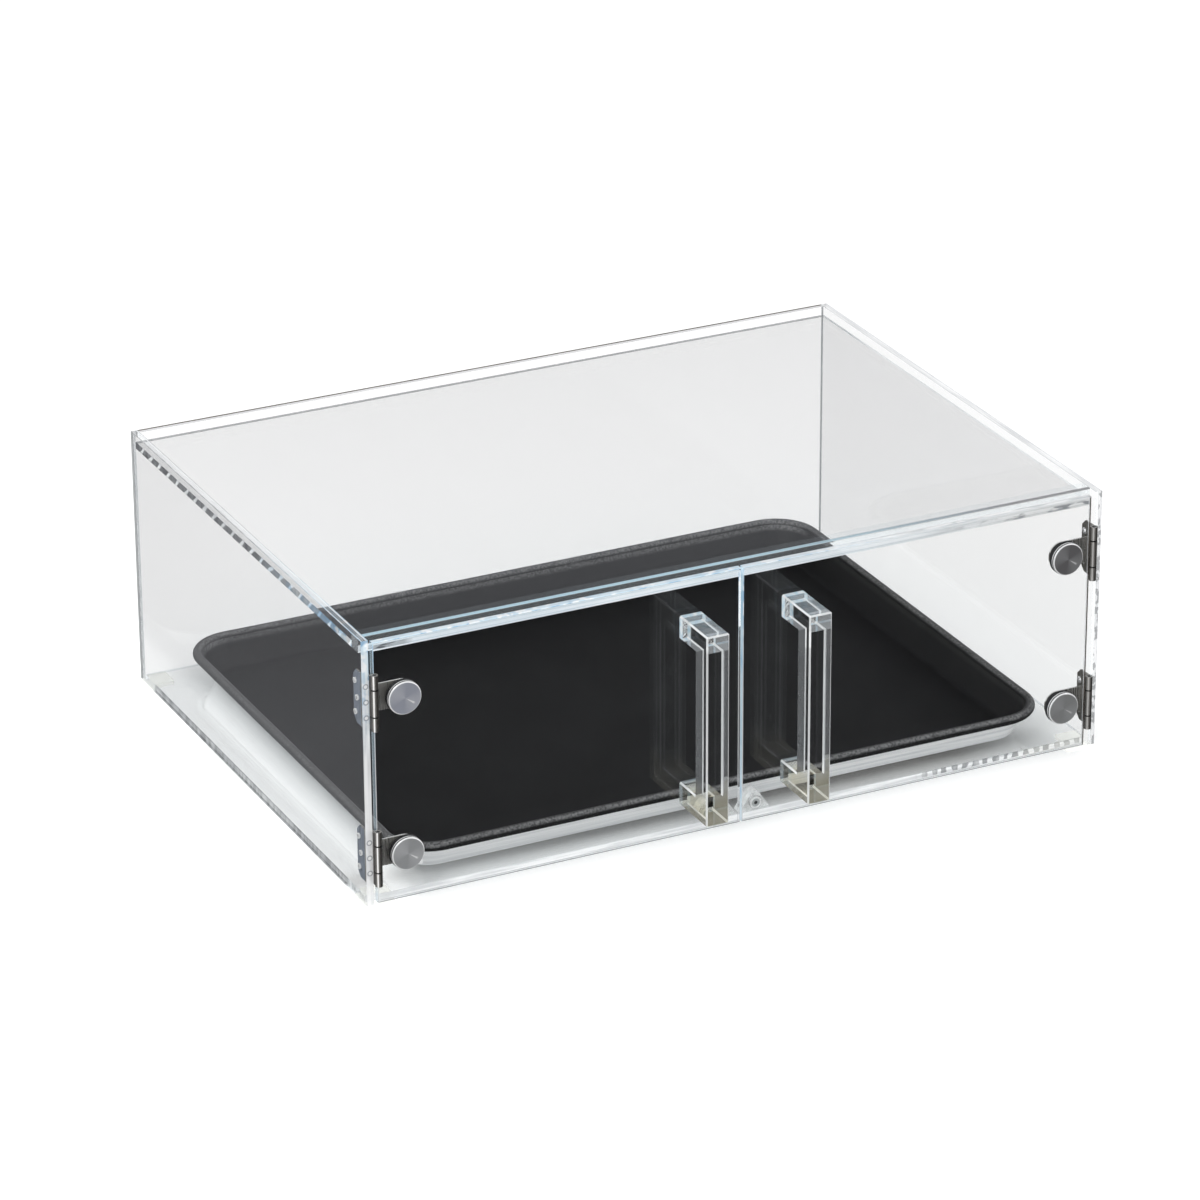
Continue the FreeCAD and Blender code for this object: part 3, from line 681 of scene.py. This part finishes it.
# %% Brushed steel
def brushed(name, dark, pale, rough, stretch, metal, lean=0.0, paint=None):
    material, tree = finish(name, pale)
    at = tree.where()
    streak = tree.noise(at.spot, 900.0, 3.0, stretch)
    cloud = tree.noise(at.spot, 45.0, 2.0)
    upright = abs(at.nz) < 0.5
    swing = tree.combine(Z=upright * wave(at.z + streak * 0.3 * mm, 0.21 * mm, lean))
    colour, dulled = tree.mix(streak, (*dark, 1), (*pale, 1)), 0.0
    if paint:
        colour, dulled = paint(tree, at, colour, upright)
    steel = tree.principled({
        "Metallic": metal - dulled, "Base Color": colour,
        "Roughness": tree.ramp(streak * 0.6 + cloud * 0.4, 0.3, 0.7, rough - 0.07, rough + 0.09),
        "Normal": grooved(tree, at, swing)})
    tree.surface(steel)
    return material


print("brushed steel can be dark or pale, rough or bright")

# %% Hinge paint
leaf_reach = 12 * mm
joints = [corner.z for level in ("lower", "upper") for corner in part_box(f"left_{level}_door_leaf")]


def hinge_paint(tree, at, colour, upright):
    turned = at.nx * 0.9 - at.ny * 0.44
    before_doors = at.y < front - 0.2 * mm
    barrel = before_doors * (abs(at.x) > half_width - leaf_reach) * upright
    # Painted shade on the barrel's flanks and a painted highlight streak, brighter on the left.
    painted_flank_shade = tree.ramp(abs(turned + 0.18), 0.3, 0.72) * barrel
    colour = tree.mix(painted_flank_shade * 0.9, colour, (0.05, 0.045, 0.04, 1))
    painted_highlight = tree.band(turned, -0.3, -0.05, 0.14) * tree.ramp(at.x, 0.05, -0.05, 0.45, 1.0)
    painted_highlight = barrel * painted_highlight
    colour = tree.mix(painted_highlight * 0.95, colour, (1, 0.99, 0.97, 1))
    # The leaves' thin edges get a pale painted highlight.
    edge = (abs(at.ny) < 0.5) * (abs(at.x) < half_width - leaf_reach)
    colour = tree.mix(edge * 0.7, colour, grey(0.95))
    gap = 0.0
    for level in joints:
        gap = gap + tree.ramp(abs(at.z - level), 0.55 * mm, 0.35 * mm)
    colour = tree.mix(gap * before_doors, colour, grey(0.015))
    # Painted light and shade on the leaves inside the side panels: lighter and bluer on the left.
    inner_leaf = (abs(at.nx) > 0.95) * (at.y > front + 5 * mm)
    dull = tree.mix(at.x > 0, (0.2, 0.225, 0.27, 1), (0.12, 0.115, 0.105, 1))
    colour = tree.mix(inner_leaf, colour, dull)
    return colour, inner_leaf * 0.6 + painted_highlight * 0.6 + edge * 0.5


print("knuckle joints at", [round(level, 4) for level in joints])

# %% Steels
hinge_steel = brushed("hinge_steel", (0.44, 0.425, 0.4), (0.54, 0.525, 0.5), 0.27,
                      (1, 1, 0.03), 0.7, 0.04, hinge_paint)
pin_steel = brushed("pin_steel", (0.05, 0.05, 0.05), (0.12, 0.12, 0.12), 0.4, (1, 1, 0.2), 0.8)
bright_steel = brushed("bright_steel", (0.8, 0.8, 0.81), (0.92, 0.92, 0.92), 0.2, (1, 1, 0.2),
                       0.6, 0.1)
magnet_metal = brushed("magnet_metal", (0.5, 0.5, 0.52), (0.7, 0.7, 0.72), 0.25, (1, 0.2, 1), 0.5)
print("steels:", hinge_steel.name, pin_steel.name, bright_steel.name, magnet_metal.name)

# %% [markdown]
# A cap's face is turned on a lathe, so its light spreads as a fan from the middle, with one
# narrow glint that points down to the right. Both the fan and the glint are painted: a painted
# sheen and a painted glint. Both need the place on the face: the offsets `aside` and `lift`
# from the cap's own middle. The caps carry painted light and shade that differs between left
# and right, and above and below. Round the side of each runs a dark groove, the rest of the
# side is painted pale as a highlight, and the stud behind is dark.

# %% Turned caps
cap_x, _, low_cap_z = middle("right_lower_clamp_cap")
high_cap_z = middle("right_upper_clamp_cap")[2]
cap_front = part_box("right_lower_clamp_cap")[0].y
glint_x, glint_z = 0.82, -0.57
cap_steel, tree = finish("cap_steel", (0.62, 0.64, 0.67))
at = tree.where()
aside = at.x - cap_x * (at.x > 0) + cap_x * (at.x < 0)
lift = at.z - low_cap_z - (high_cap_z - low_cap_z) * (at.z > (low_cap_z + high_cap_z) / 2)
radius = (aside * aside + lift * lift).math("SQRT").math("MAXIMUM", 0.1 * mm)
face = at.ny < -0.95
ring = wave(radius, 0.9 * mm, 0.02) * face
grain = tree.noise(at.spot, 500.0, 2.0)
# Painted light and shade: the caps differ left and right, and above and below.
to_right = tree.ramp(at.x, -0.05, 0.05)
aloft = tree.ramp(at.z, 0.06, 0.12)
pale = tree.mix(aloft, (0.42, 0.43, 0.44, 1), (0.41, 0.43, 0.5, 1))
dull = tree.mix(aloft, (0.5, 0.51, 0.51, 1), (0.26, 0.255, 0.26, 1))
pale = tree.mix(to_right, pale, dull)
colour = tree.mix(tree.ramp(grain, 0.3, 0.7, 0.0, 0.05), pale, grey(0.1))
# A painted sheen in a fan and a painted glint on the face.
course = (aside * glint_x + lift * glint_z).math("DIVIDE", radius)
painted_sheen_fan = tree.ramp(abs(course), 0.2, 1.0, -0.12, 0.3).math("MAXIMUM", 0.0)
colour = tree.mix(painted_sheen_fan, colour, (0.8, 0.81, 0.83, 1))
painted_glint = tree.ramp(course, 0.99, 0.999) * tree.band(radius, 2.5 * mm, 6.5 * mm, 1.5 * mm)
colour = tree.mix(painted_glint, colour, grey(1))
groove = tree.band(at.y, cap_front + 0.8 * mm, cap_front + 1.7 * mm, 0.1 * mm)
# The side is painted pale as a highlight; the groove and the stud are dark.
side = tree.mix(groove, (0.9, 0.905, 0.91, 1), grey(0.02))
stud = tree.ramp(at.y, cap_front + 2.6 * mm, cap_front + 2.7 * mm)
side = tree.mix(stud, side, grey(0.02))
colour = tree.mix(face, side, colour)
turned = tree.principled({
    "Metallic": tree.ramp(at.x, -0.05, 0.05, 0.5, 0.75) * (face * 0.6 + 0.4), "Base Color": colour,
    "Roughness": tree.ramp(grain, 0.3, 0.7, 0.3, 0.36) + ring})
tree.surface(turned)
print("caps turned about x", round(cap_x, 4), "and z", round(low_cap_z, 4), round(high_cap_z, 4))

# %% [markdown]
# ## Rubber between steel and acrylic
# A black rubber disc lies between the steel and the door on both its faces, so that steel
# never presses on the clear sheet itself. Rubber is nearly black and has no shine to speak
# of, only a fine grain.

# %% Rubber
gasket_low, gasket_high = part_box("right_lower_front_gasket")
rubber, tree = finish("gasket_rubber", (0.02, 0.02, 0.02))
at = tree.where()
grain = tree.noise(at.spot, 900.0, 2.0)
colour = tree.mix(grain, (0.01, 0.01, 0.011, 1), (0.028, 0.028, 0.03, 1))
tree.surface(tree.principled({
    "Base Color": colour, "Roughness": tree.ramp(grain, 0.3, 0.7, 0.5, 0.7),
    "Normal": tree.bump(grain, 0.2, 0.0001)}))
print("gaskets from", round(gasket_low.y, 4), "to", round(gasket_high.y, 4))

# %% Strike discs
disc_x, _, disc_z = middle("right_strike_disc")
strike_steel, tree = finish("strike_steel", (0.8, 0.8, 0.8))
at = tree.where()
across, lift = abs(at.x) - disc_x, at.z - disc_z
radius = (across * across + lift * lift).math("SQRT")
grain = tree.noise(at.spot, 700.0, 2.0)
rim = tree.ramp(radius, 2.7 * mm, 3.0 * mm)
# The disc's dark middle is painted shade.
painted_shade_well = tree.ramp(radius, 1.3 * mm, 1.0 * mm)
colour = tree.mix(grain, (0.42, 0.44, 0.45, 1), (0.56, 0.58, 0.58, 1))
colour = tree.mix(rim, colour, grey(0.9))
colour = tree.mix(painted_shade_well, colour, grey(0.03))
tree.surface(tree.principled({
    "Metallic": 0.25, "Base Color": colour, "Roughness": tree.ramp(grain, 0.3, 0.7, 0.25, 0.4)}))
print("strike discs at", round(disc_x, 4), round(disc_z, 4))

# %% [markdown]
# ## The sheet pan
# The pan is pressed from aluminium and coated dark inside, over the rolled rim and just below
# it. The coat is matt and slightly pebbled. Along its top the rim carries a painted highlight,
# and painted light makes it lighter on the left. The outside of the walls is left bare, with
# the long soft scratches of the press. The bare wall also glows faintly, more so on the left:
# that glow is painted light, to be as bright as in the photograph.

# %% Pan metal
pan_metal, tree = finish("pan_two_tone", (0.03, 0.03, 0.032))
at = tree.where()
outside = (at.z < pan_high.z - 5.9 * mm) * (at.nz < 0.1)
speckle = tree.noise(at.spot, 620.0, 2.0)
cloud = tree.noise(at.spot, 14.0, 3.0)
bead = tree.ramp(at.z, pan_high.z - 7 * mm, pan_high.z - 5 * mm)
low_coat = tree.mix(cloud, (0.003, 0.0029, 0.003, 1), (0.006, 0.0057, 0.006, 1))
# A painted highlight along the top of the rim, and painted light on its left side.
painted_highlight = tree.ramp(at.nz * 0.8 - at.ny * 0.55 + abs(at.nx) * 0.38, 0.7, 0.96)
painted_highlight = painted_highlight * tree.ramp(speckle, 0.36, 0.64, 0.3, 1.0)
painted_light_left_rim = tree.ramp(at.x, pan_low.x + 14 * mm, pan_low.x + 5 * mm)
rim_base = tree.mix(painted_light_left_rim, grey(0.009), (0.05, 0.05, 0.051, 1))
rim_coat = tree.mix(painted_highlight, rim_base, (0.2, 0.2, 0.205, 1))
coat = tree.principled({
    "Base Color": tree.mix(bead, low_coat, rim_coat), "Specular IOR Level": 0.22,
    "Roughness": tree.ramp(cloud, 0.3, 0.7, 0.46, 0.56) - bead * 0.14,
    "Normal": tree.bump(speckle, 0.08, 0.0001)})
scratch = tree.ramp(tree.noise(at.spot, 1.0, 3.0, (9, 9, 420)), 0.36, 0.64)
# The bare wall glows: painted light, most on the wall that faces left, towards its top.
painted_light_left_wall = tree.mix(tree.ramp(at.z, pan_low.z + 4 * mm, pan_high.z - 8 * mm),
                     (0.46, 0.465, 0.47, 1), grey(0.9))
bare = tree.principled({
    "Metallic": 0.25, "Base Color": tree.mix(scratch, (0.72, 0.73, 0.74, 1), grey(0.98)),
    "Emission Color": tree.mix(at.nx < -0.5, (0.163, 0.168, 0.173, 1), painted_light_left_wall),
    "Emission Strength": 0.75,
    "Roughness": tree.ramp(cloud, 0.3, 0.7, 0.3, 0.4),
    "Normal": tree.bump(scratch, 0.12, 0.0001)})
tree.surface(tree.blend(outside, coat, bare))
print("pan from", pan_low, "to", pan_high)

# %% [markdown]
# ## Screws and their holes
# Three screws hold each side leaf, twelve in all, so one is made and set down twelve times.
# Geometry Nodes suit that: a domed head with a cross cut into it, and a shank whose rings
# stand for a thread. Each point of a small mesh says where a screw sits, and an attribute
# says which way it faces. Around each shank the tapped acrylic is frosted white, which shows
# as a pale ring through the panel; that is a second tree, on points deeper in the panel.

# %% Points that carry the screws
seats = []
for name in sorted(nodes):
    if "leaf_screw" in name:
        low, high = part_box(name)
        side = 1 if low.x > 0 else -1
        tip, top = max(abs(low.x), abs(high.x)), min(abs(low.x), abs(high.x))
        seats.append(SimpleNamespace(name=name, side=side, top=top, tip=tip,
                                     y=(low.y + high.y) / 2, z=(low.z + high.z) / 2))
head_height = 1.1 * mm
shank_length = seats[0].tip - seats[0].top - head_height


def seat_points(name, depth):
    mesh = bpy.data.meshes.new(name)
    mesh.from_pydata([(seat.side * (seat.top + depth), seat.y, seat.z) for seat in seats], [], [])
    headings = mesh.attributes.new("facing", "FLOAT_VECTOR", "POINT")
    for entry, seat in zip(headings.data, seats):
        entry.vector = (-seat.side, 0, 0)
    made = bpy.data.objects.new(name, mesh)
    bpy.context.scene.collection.objects.link(made)
    return made


print(len(seats), "screws, shanks", round(shank_length / mm, 2), "mm")


# %% Trees with named sizes
def growth(name, sizes):
    group = bpy.data.node_groups.new(name, "GeometryNodeTree")
    group.interface.new_socket("Points", in_out="INPUT", socket_type="NodeSocketGeometry")
    for label in sizes:
        group.interface.new_socket(label, in_out="INPUT", socket_type="NodeSocketFloat")
    group.interface.new_socket("Pieces", in_out="OUTPUT", socket_type="NodeSocketGeometry")
    tree = Tree(group)
    given = tree.node("NodeGroupInput")
    return group, tree, {label: given.output(label) for label in ("Points", *sizes)}


def plant(tree, points, prototype, material):
    heading = tree.node("GeometryNodeInputNamedAttribute", {"data_type": "FLOAT_VECTOR"},
                        {"Name": "facing"})
    turn = tree.node("FunctionNodeAlignRotationToVector", {"axis": "Z"}, {"Vector": heading})
    copies = tree.node("GeometryNodeInstanceOnPoints", {}, {
        "Points": points, "Instance": prototype, "Rotation": turn})
    solid = tree.node("GeometryNodeRealizeInstances", {}, {0: copies})
    dressed = tree.node("GeometryNodeSetMaterial", {}, {"Geometry": solid, "Material": material})
    tree.node("NodeGroupOutput", {}, {0: dressed})


def grow(host, group, sizes):
    modifier = host.modifiers.new("growth", "NODES")
    modifier.node_group = group
    for item in group.interface.items_tree:
        if item.item_type == "SOCKET" and item.name in sizes:
            modifier[item.identifier] = sizes[item.name]
    evaluated = host.evaluated_get(bpy.context.evaluated_depsgraph_get())
    mesh = bpy.data.meshes.new_from_object(evaluated)
    host.modifiers.clear()
    host.data = mesh
    return host


print("two helpers plant a prototype on points")

# %% The screw
sizes = {"Head Radius": 2.3 * mm, "Head Height": head_height, "Shank Radius": 1.25 * mm,
         "Shank Length": shank_length, "Thread Pitch": 0.6 * mm, "Cross Width": 0.5 * mm,
         "Cross Length": 2.6 * mm, "Cross Depth": 0.6 * mm}
dome_share, thread_share = 0.6, 0.16
group, tree, given = growth("screw_growth", sizes)
x, y, z = tree.parts(tree.node("GeometryNodeInputPosition"))
from_axis = (x * x + y * y).math("SQRT")
head = tree.node("GeometryNodeMeshCylinder", {"fill_type": "TRIANGLE_FAN"}, {
    "Vertices": 28, "Side Segments": 1, "Fill Segments": 5, "Radius": given["Head Radius"],
    "Depth": given["Head Height"]})
share = from_axis.math("DIVIDE", given["Head Radius"])
drop = (share.math("POWER", 3.0) * given["Head Height"]) * dome_share * (z > 0)
head = tree.node("GeometryNodeSetPosition", {}, {
    "Geometry": head, "Offset": tree.combine(Z=drop * -1)})
head = tree.node("GeometryNodeTransform", {}, {
    "Geometry": head, "Translation": tree.combine(Z=given["Head Height"] * 0.5)})
deep = given["Cross Depth"] * 2
long, narrow = given["Cross Length"], given["Cross Width"]
crossed = [tree.combine(X=long, Y=narrow, Z=deep), tree.combine(X=narrow, Y=long, Z=deep)]
bars = [tree.node("GeometryNodeMeshCube", {}, {"Size": size}) for size in crossed]
raised = tree.combine(Z=given["Head Height"])
bars = [tree.node("GeometryNodeTransform", {}, {"Geometry": bar, "Translation": raised})
        for bar in bars]
for bar in bars:
    head = tree.node("GeometryNodeMeshBoolean", {"operation": "DIFFERENCE"},
                     {"Mesh 1": head, "Mesh 2": bar})
shank = tree.node("GeometryNodeMeshCylinder", {"fill_type": "TRIANGLE_FAN"}, {
    "Vertices": 14, "Side Segments": 28, "Fill Segments": 1, "Radius": given["Shank Radius"],
    "Depth": given["Shank Length"]})
ridge = (z * (2 * math.pi)).math("DIVIDE", given["Thread Pitch"]).math("SINE")
squeeze = (ridge * 0.5 - 0.5) * thread_share
inward = tree.combine(X=x * squeeze, Y=y * squeeze)
shank = tree.node("GeometryNodeSetPosition", {}, {"Geometry": shank, "Offset": inward})
shank = tree.node("GeometryNodeTransform", {}, {
    "Geometry": shank, "Translation": tree.combine(Z=given["Shank Length"] * -0.5)})
screw = tree.node("GeometryNodeJoinGeometry", {}, {"Geometry": [head, shank]})
plant(tree, given["Points"], screw, bright_steel)
screws = grow(seat_points("leaf_screws", head_height), group, sizes)
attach(screws, "case")
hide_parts(*[seat.name for seat in seats])
print("leaf_screws", len(screws.data.polygons), "faces")

# %% The frosted holes
frost, tree = finish("frosted_thread", (0.9, 0.92, 0.93))
at = tree.where()
ridge = tree.ramp(wave(at.x, 0.6 * mm, 0.5), -0.5, 0.5)
dust = tree.noise(at.spot, 800.0, 2.0)
cloudy = tree.principled({
    "Base Color": tree.mix(ridge, (0.8, 0.82, 0.84, 1), grey(0.97)),
    "Roughness": tree.ramp(dust, 0.3, 0.7, 0.35, 0.6)})
gap = tree.transparent(grey(1))
tree.surface(tree.blend(0.55 + dust * 0.5, gap, cloudy))

sizes = {"Outer Radius": 1.85 * mm, "Inner Radius": 1.35 * mm, "Length": 3.3 * mm}
group, tree, given = growth("frost_growth", sizes)
ring = [tree.node("GeometryNodeMeshCylinder", {"fill_type": "NGON"}, {
    "Vertices": 20, "Radius": given[radius], "Depth": given["Length"] * stretch})
    for radius, stretch in (("Outer Radius", 1.0), ("Inner Radius", 1.2))]
sleeve = tree.node("GeometryNodeMeshBoolean", {"operation": "DIFFERENCE"},
                   {"Mesh 1": ring[0], "Mesh 2": ring[1]})
plant(tree, given["Points"], sleeve, frost)
halfway = half_width - wall + 1.75 * mm - seats[0].top
holes = grow(seat_points("frosted_holes", halfway), group, sizes)
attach(holes, "case")
print("frosted_holes", len(holes.data.polygons), "faces")

# %% [markdown]
# ## Hand out the finishes
# Each solid's name says what it is, so a short table of words in names gives every one its
# finish. The meshes themselves stay as they are.

# %% Finishes by name
table = [("foot", clear_foot), ("leaf_screw", bright_steel), ("leaf", hinge_steel),
         ("hinge_pin", pin_steel), ("cap", cap_steel), ("gasket", rubber),
         ("magnet", magnet_metal), ("strike", strike_steel), ("handle", handle_bar),
         ("catch_block", catch_bar), ("header", header_bar), ("side_panel", side_sheet),
         ("base", base_sheet), ("top_panel", lid_sheet), ("back_panel", back_sheet),
         ("door_panel", door_sheet), ("sheet_pan", pan_metal)]
for name, node in nodes.items():
    material = next(given for word, given in table if word in name)
    for place in node.material_slots:
        place.material = material
print("finishes on", len(nodes), "solids")
